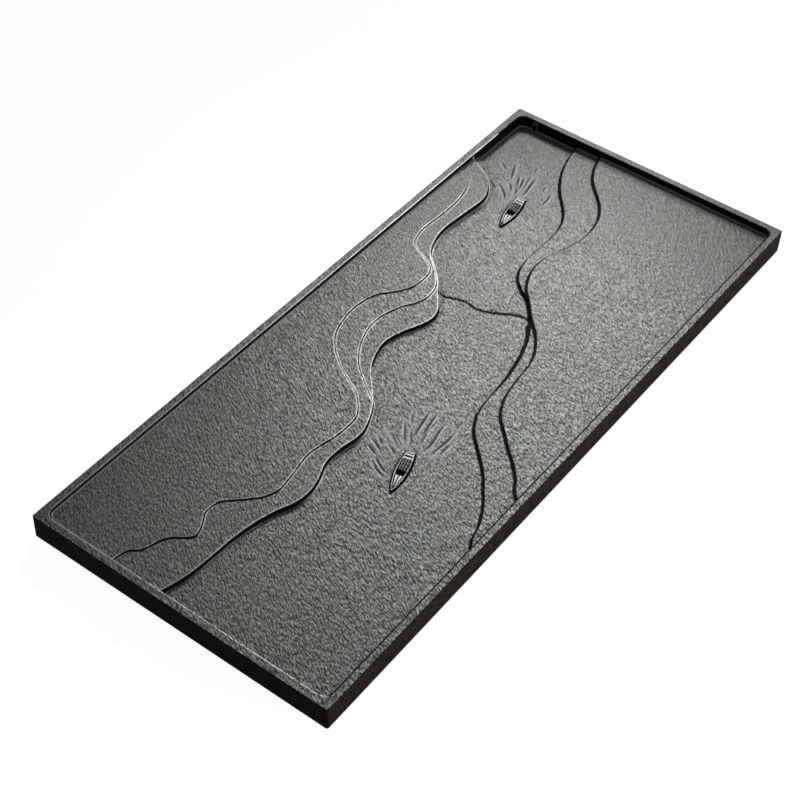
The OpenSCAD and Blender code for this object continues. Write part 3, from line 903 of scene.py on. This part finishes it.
class Finish(Tree):
    """A material whose patterns follow the piece's own coordinates."""

    def __init__(self, name, roughness, specular=0.5, metallic=0.0):
        self.material = bpy.data.materials.new(name)
        super().__init__(self.material)
        self.shader = self.nodes["Principled BSDF"].inputs
        self.shader["Roughness"].default_value = roughness
        self.shader["Specular IOR Level"].default_value = specular
        self.shader["Metallic"].default_value = metallic
        self.coord = self.add("TexCoord").outputs["Object"]

    def done(self, colour, normal, roughness=None):
        """Joins the results to the shader, and returns the material."""
        self.links.new(colour, self.shader["Base Color"])
        self.links.new(normal, self.shader["Normal"])
        if roughness:
            self.links.new(roughness, self.shader["Roughness"])
        return self.material

    def noise(self, wavelength, detail, rough=0.5, stretch=None, turn=0.0):
        """Noise whose lumps are about this many millimetres apart."""
        coord = self.coord
        if stretch:
            turned = {"Vector": coord, "Scale": stretch, "Rotation": (0, 0, turn)}
            coord = self.add("Mapping", turned, vector_type="TEXTURE").outputs["Vector"]
        return self.add("TexNoise", {"Vector": coord, "Scale": 1 / (wavelength * MM),
                                     "Detail": detail, "Roughness": rough}).outputs["Fac"]

    def ramp(self, value, *stops):
        """A colour ramp through stops, each a place and a colour or grey."""
        node = self.add("ValToRGB", {"Fac": value})
        elements = node.color_ramp.elements
        while len(elements) < len(stops):
            elements.new(0.5)
        for element, (place, colour) in zip(elements, stops):
            element.position = place
            element.color = (*colour, 1) if isinstance(colour, tuple) else (colour,) * 3 + (1,)
        return node.outputs["Color"]

    def mix(self, factor, a, b, blend="MIX"):
        return self.add("Mix", {0: factor, 6: a, 7: b}, data_type="RGBA", blend_type=blend).outputs[2]

    def span(self, value, source, target):
        """A value mapped from one range to another."""
        ends = dict(zip(("From Min", "From Max", "To Min", "To Max"), source + target))
        return self.add("MapRange", {"Value": value, **ends}).outputs[0]

    def bump(self, height, distance, before=None):
        """Bump this many millimetres deep, on top of an earlier one."""
        inputs = {"Strength": 1.0, "Distance": distance * MM, "Height": height}
        if before:
            inputs["Normal"] = before
        return self.add("Bump", inputs).outputs["Normal"]


def top_stone():
    """Hammered grey stone, black where it is cut and in painted shade, pale on worn edges and
    painted highlights, dark with painted shade in creases and a little darker with painted shade
    towards the deep end, and calmer where it is smooth and towards the deep end."""
    m = Finish("carved_stone", 0.62, 0.25)
    cut, lip, cleft, evened = [m.add("Attribute", attribute_name=name).outputs["Fac"]
                               for name in ("cut", "lip", "cleft", "smooth")]
    chips = m.noise(CHIPS, 0.4, 0.5, TOOL_STRETCH, TOOL_TURN)
    lumps = m.noise(LUMPS, 0.6, 0.5, TOOL_STRETCH, TOOL_TURN)
    grain = m.noise(GRAIN, 2, 0.6)
    along = m.add("SeparateXYZ", {0: m.coord}).outputs["X"]
    plain = m.calc("SUBTRACT", 1.0, evened)
    plain = m.calc("MULTIPLY", plain, m.span(along, (0.0, 0.33), (1.0, 0.5)))
    fine = m.calc("MULTIPLY", m.calc("SUBTRACT", chips, 0.5), plain)
    lumps = m.calc("MULTIPLY", m.calc("SUBTRACT", lumps, 0.5), plain)
    colour = m.ramp(m.calc("ADD", fine, 0.5),
                    (0.34, ROUGH_STONE_DARK), (0.5, ROUGH_STONE), (0.66, ROUGH_STONE_LIGHT))
    tint = m.ramp(m.noise(60, 2), (0.3, (0.93, 0.98, 0.96)), (0.7, (1.05, 1.0, 0.97)))
    # Painted shade: the stone darker towards the far end.
    far_shade = m.span(along, (0.0, 0.16), (1.0, 0.88))
    tint = m.add("VectorMath", {0: tint, "Scale": far_shade}, operation="SCALE").outputs[0]
    colour = m.mix(1.0, colour, tint, "MULTIPLY")
    colour = m.mix(evened, colour, SMOOTH_STONE)
    # Painted shade in the cleft, seam, strokes and beside the far wall.
    colour = m.mix(m.calc("MULTIPLY", cleft, 0.92, clamp=True), colour, CREASE_SHADE_STONE)
    # Black of cut stone and painted shade.
    colour = m.mix(cut, colour, CUT_BLACK_AND_SHADE)
    # Pale edges: wear and painted highlight.
    pale_and_lit = m.calc("MULTIPLY", lip, m.calc("ADD", chips, 0.3), clamp=True)
    colour = m.mix(pale_and_lit, colour, WEAR_AND_HIGHLIGHT_STONE)
    polish = m.ramp(evened, (0.7, 0.52), (1.0, 0.34))
    dull = m.calc("MAXIMUM", cut, m.calc("MULTIPLY", cleft, 0.7))
    relief = m.bump(fine, CHIPS_BUMP, m.bump(lumps, LUMPS_BUMP))
    return m.done(colour, m.bump(grain, GRAIN_BUMP, relief), m.mix(dull, polish, (0.85, 0.85, 0.85)))


def cut_and_shaded_stone():
    """The same stone where it is cut sharp and deep, near black and dull: partly its own black,
    partly painted shade.
    """
    m = Finish("cut_and_shaded_stone", 0.7, 0.03)
    chips = m.noise(1.6, 2)
    return m.done(m.ramp(chips, (0.3, CUT_DEEP_SHADE), (0.7, CUT_BLACK_AND_SHADE)), m.bump(chips, 0.1),
                  m.ramp(chips, (0.3, 0.66), (0.7, 0.8)))


def side_stone():
    """Sawn and honed black stone, with fine specks."""
    m = Finish("honed_stone", 0.6, 0.005)
    specks = m.noise(1.1, 1.5, 0.6)
    colour = m.ramp(specks, (0.38, SIDE_DARK), (0.52, SIDE_STONE), (0.64, SIDE_SPECKS))
    cloud = m.ramp(m.noise(7, 2), (0.35, (0.6, 0.6, 0.62)), (0.65, (1.45, 1.3, 1.2)))
    return m.done(m.mix(1.0, colour, cloud, "MULTIPLY"), m.bump(specks, 0.05),
                  m.ramp(specks, (0.3, 0.42), (0.8, 0.62)))


def boat_stone():
    """The same stone cut fine, for the boats."""
    m = Finish("boat_stone", 0.5)
    chips = m.noise(1.1, 3, 0.6)
    colour = m.ramp(chips, (0.3, ROUGH_STONE_LIGHT), (0.5, BOAT_STONE), (0.7, BOAT_STONE_LIGHT))
    return m.done(colour, m.bump(chips, 0.12), m.ramp(chips, (0.3, 0.44), (0.7, 0.6)))


def brushed_steel():
    """Turned stainless steel, with fine rings round the bore and painted shade inside it."""
    m = Finish("turned_steel", 0.3, 0.5, 1.0)
    rings = m.noise(0.5, 2, 0.5, (1.0, 16.0, 16.0))
    flat = m.add("VectorMath", {0: m.coord, 1: (0, 1, 1)}, operation="MULTIPLY").outputs[0]
    from_axis = m.add("VectorMath", {0: flat, 1: (0, BORE_Y, BORE_Z)}, operation="DISTANCE")
    inside = m.calc("LESS_THAN", from_axis.outputs["Value"], SLEEVE_R - 0.5 * SLEEVE_WALL * MM)
    colour = m.ramp(rings, (0.3, STEEL_DARK), (0.7, STEEL_LIGHT))
    polish = m.ramp(rings, (0.3, 0.24), (0.7, 0.40))
    # Painted shade inside the bore: darker and duller there.
    return m.done(m.mix(inside, colour, BORE_SHADE), m.bump(rings, 0.01),
                  m.mix(inside, polish, (0.8, 0.8, 0.8)))


def foam_tape():
    """Open foam, seen as the thin edge above each foot."""
    m = Finish("foam_tape", 0.8)
    cells = m.noise(0.4, 2, 0.6)
    return m.done(m.ramp(cells, (0.35, FOAM_DARK), (0.65, FOAM_LIGHT)), m.bump(cells, 0.03))


def soft_rubber():
    """Matt black rubber, a little dusty."""
    m = Finish("soft_rubber", 0.72, 0.35)
    mottle = m.noise(1.2, 3, 0.6)
    dust = m.calc("MULTIPLY", m.noise(9, 2), 0.25)
    colour = m.mix(dust, m.ramp(mottle, (0.3, RUBBER_DARK), (0.7, RUBBER_LIGHT)), RUBBER_DUST)
    return m.done(colour, m.bump(mottle, 0.05), m.ramp(mottle, (0.3, 0.66), (0.7, 0.82)))


def read(parts, name, width=1, kind=float):
    """One value of every part of a mesh, as an array."""
    values = np.zeros(len(parts) * width, kind)
    parts.foreach_get(name, values)
    return values.reshape(-1, width) if width > 1 else values


# A face is outside when it is this near the outline or looks this far down, and in the bore
# within this many radii of its axis. It is sharp when it is cut black more, and pale with wear
# and painted highlight less, than this.
OUTLINE_GAP, LOOKS_DOWN, BORE_RADII, SHARP_CUT, SHARP_PALE = 0.4, -0.9, 1.02, 0.45, 0.3


def dress_slab(slab):
    """Gives each face its finish: the carved top, the honed outside, or the sharply cut stone of
    the steps, the wall and the bore, near black partly as painted shade, also inside the bore."""
    mesh = slab.data
    mesh.materials.clear()
    for finish in (top_stone(), side_stone(), cut_and_shaded_stone()):
        mesh.materials.append(finish)
    top, side, sharp = range(3)
    normal, centre = read(mesh.polygons, "normal", 3), read(mesh.polygons, "center", 3)
    outside = inside_depth(centre[:, :2] / MM, TRAY_LEN, TRAY_WID, CORNER_R) < OUTLINE_GAP
    outside |= normal[:, 2] < LOOKS_DOWN
    from_axis = np.hypot(centre[:, 1] - BORE_Y, centre[:, 2] - BORE_Z)
    bored = (from_axis < BORE_RADII * SLEEVE_R) & (centre[:, 0] > BASIN_LEN / 2 * MM)
    corner = read(mesh.loops, "vertex_index", kind=np.int32)
    first = read(mesh.polygons, "loop_start", kind=np.int32)
    count = np.diff(np.append(first, len(corner)))
    cut, lip = [np.add.reduceat(read(mesh.attributes[name].data, "value")[corner], first) / count
                for name in ("cut", "lip")]
    # Faces cut black, partly painted shade, and the bore's faces, darkened as painted shade, take the
    # near-black finish.
    sharply = (cut > SHARP_CUT) & (lip < SHARP_PALE) & ~outside
    finish = np.where(outside & ~bored, side, np.where(sharply | bored, sharp, top))
    mesh.polygons.foreach_set("material_index", finish.astype(np.int32))


# Camera, light and floor

CAMERA_AT = Vector((-963.37, -640.24, 1171.03)) * MM
LOOKS_ALONG = Vector((0.568074, 0.401327, -0.718491))
CAMERA_ROLL = math.radians(2.431)
SENSOR_W, LENS = 36.0, 82.76

FLOOR_SIZE, FLOOR_PAPER, FLOOR_GLOW = 30, (0.62, 0.62, 0.62), 0.93
WORLD_LIGHT = 0.035

# Name, place, what it looks at, its width and height, power, and spread in degrees.
LIGHTS = (("far_softbox", (0.84, 0.47, 0.74), (-0.03, -0.14, 0), (0.28, 0.28), 1.95, 37),
          ("side_softbox", (0.15, -1.3, 0.09), (0.1, -0.15, 0.015), (0.9, 0.12), 11.0, 180),
          ("top_softbox", (-0.2, 0.2, 1.9), (0, 0, 0), (1.4, 1.4), 1.5, 180))


def set_camera():
    right = LOOKS_ALONG.cross(Vector((0, 0, 1))).normalized()
    up = right.cross(LOOKS_ALONG)
    c, s = math.cos(CAMERA_ROLL), math.sin(CAMERA_ROLL)
    x, y = c * right + s * up, -s * right + c * up
    turn = Matrix((x, y, -LOOKS_ALONG.normalized())).transposed()
    data = bpy.data.cameras.new("camera")
    data.sensor_width, data.lens = SENSOR_W, LENS
    camera = bpy.data.objects.new("camera", data)
    camera.matrix_world = Matrix.Translation(CAMERA_AT) @ turn.to_4x4()
    bpy.context.scene.collection.objects.link(camera)
    bpy.context.scene.camera = camera


def set_floor():
    """A plain pale floor that keeps the shadow."""
    floor = primitive(bpy.ops.mesh.primitive_plane_add, "floor", size=FLOOR_SIZE, location=(0, 0, 0))
    material = bpy.data.materials.new("pale_floor")
    tree = Tree(material)
    tree.nodes.clear()
    paper = tree.add("BsdfDiffuse", {"Color": FLOOR_PAPER})
    glow = tree.add("Emission", {"Strength": tree.calc("MULTIPLY", tree.white_seen(), FLOOR_GLOW)})
    both = tree.add("AddShader", {0: paper.outputs[0], 1: glow.outputs[0]})
    tree.add("OutputMaterial", {"Surface": both.outputs[0]})
    floor.data.materials.append(material)


def set_light():
    """A surround that looks white and gives little light, and the soft lights."""
    world = bpy.data.worlds.new("white_surround")
    tree = Tree(world)
    strength = tree.calc("MULTIPLY", tree.white_seen(), 1 - WORLD_LIGHT)
    background = tree.nodes["Background"].inputs
    tree.feed(background["Strength"], tree.calc("ADD", strength, WORLD_LIGHT))
    tree.feed(background["Color"], (1, 1, 1))
    bpy.context.scene.world = world
    bpy.context.scene.view_settings.view_transform = "Standard"
    for name, place, aim, size, power, spread in LIGHTS:
        lamp = bpy.data.lights.new(name, "AREA")
        lamp.shape, lamp.size, lamp.size_y = "RECTANGLE", *size
        lamp.energy, lamp.spread = power, math.radians(spread)
        obj = bpy.data.objects.new(name, lamp)
        turn = (Vector(aim) - Vector(place)).to_track_quat("-Z", "Y").to_matrix().to_4x4()
        obj.matrix_world = Matrix.Translation(place) @ turn
        bpy.context.scene.collection.objects.link(obj)


set_camera()
set_floor()
set_light()

slab = carve_slab()
bore_drain(slab)
dress_slab(slab)
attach(slab, "root")
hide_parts("tray_slab")

# The boats' pale stone and their black, partly painted shade.
pale_and_black = (boat_stone(), cut_and_shaded_stone())
for name, place, heading in BOATS:
    boat = model_boat(name, place, heading, pale_and_black)
    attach(boat, "root")

finishes = {"drain_sleeve": brushed_steel(), "tape_discs": foam_tape()}
rubber = soft_rubber()
for name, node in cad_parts.items():
    if name != "tray_slab":
        node.data.materials.clear()
        node.data.materials.append(finishes.get(name, rubber))
